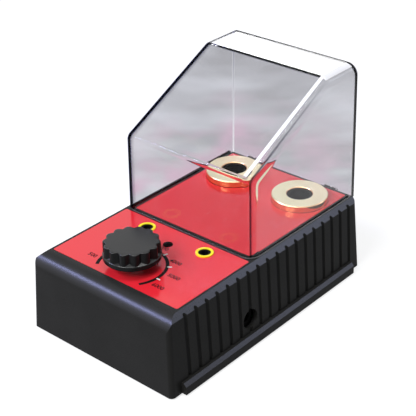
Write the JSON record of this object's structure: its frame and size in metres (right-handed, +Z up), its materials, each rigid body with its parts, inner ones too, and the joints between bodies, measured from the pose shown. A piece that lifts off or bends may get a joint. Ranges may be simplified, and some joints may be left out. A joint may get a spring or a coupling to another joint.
{
  "type": "spark plug tester",
  "caption": "Bench tester for spark plugs: ribbed black case, red panels, speed knob, lead sockets and brass plug seats under a clear hinged guard hood.",
  "frame": {"origin": "middle of the footprint, on the bench under the rubber feet", "axes": "+X to the right seen from the dial, +Y to the rear where the hood is hinged, +Z up"},
  "size_m": [0.1004, 0.1536, 0.1162],
  "materials": {
    "case_black": "fine moulded satin",
    "panel_red": "satin printed sheet",
    "hood_clear": "clear, polished, slightly grey",
    "knob_black": "satin",
    "steel": "bright plated",
    "brass": "turned, pale",
    "collar_yellow": "glossy",
    "sleeve_black": "plain",
    "rubber_black": "matt",
    "lamp_smoke": "dark, unlit",
    "control_grey": "plain",
    "coil_potting": "potted",
    "board_green": "board",
    "lead_red": "insulated lead",
    "capacitor_blue": "sleeved",
    "aluminium": "extruded"
  },
  "bodies": {
    "case": {"upper_case": "case_black", "base_plate": "case_black", "base_screws": "steel", "rubber_feet": "rubber_black", "front_panel": "panel_red", "test_panel": "panel_red", "hinge_pin_left": "steel", "hinge_pin_right": "steel", "control_body": "control_grey", "control_washer": "steel", "control_nut": "steel", "power_lamp": "lamp_smoke", "lamp_clip": "sleeve_black", "socket_collar_left": "collar_yellow", "socket_collar_right": "collar_yellow", "socket_sleeve_left": "sleeve_black", "socket_sleeve_right": "sleeve_black", "socket_contact_left": "brass", "socket_contact_right": "brass", "socket_nut_left": "steel", "socket_nut_right": "steel", "plug_ring_left": "brass", "plug_ring_right": "brass", "plug_sleeve_left": "sleeve_black", "plug_sleeve_right": "sleeve_black", "ring_nut_left": "brass", "ring_nut_right": "brass", "earth_strap": "brass", "spark_contact_left": "brass", "spark_contact_right": "brass", "contact_nut_left": "steel", "contact_nut_right": "steel", "spark_lead_left": "lead_red", "spark_lead_right": "lead_red", "spark_coil": "coil_potting", "coil_screws": "steel", "circuit_board": "board_green", "board_screws": "steel", "supply_inlet": "sleeve_black", "inlet_pin": "steel", "storage_capacitor": "capacitor_blue", "drive_transistor": "sleeve_black", "heat_sink": "aluminium", "timer_chip": "sleeve_black"},
    "knob": {"speed_knob": "knob_black", "control_shaft": "steel"},
    "hood": {"hood": "hood_clear"}
  },
  "joints": [
    {"name": "knob_turn", "type": "hinge", "parent": "case", "child": "knob", "pos_m": [0, -0.05057, 0.0428], "axis": [0, 0, -1], "range_deg": [0, 300]},
    {"name": "hood_hinge", "type": "hinge", "parent": "case", "child": "hood", "pos_m": [0, 0.07447, 0.0402], "axis": [-1, 0, 0], "range_deg": [0, 100]}
  ]
}
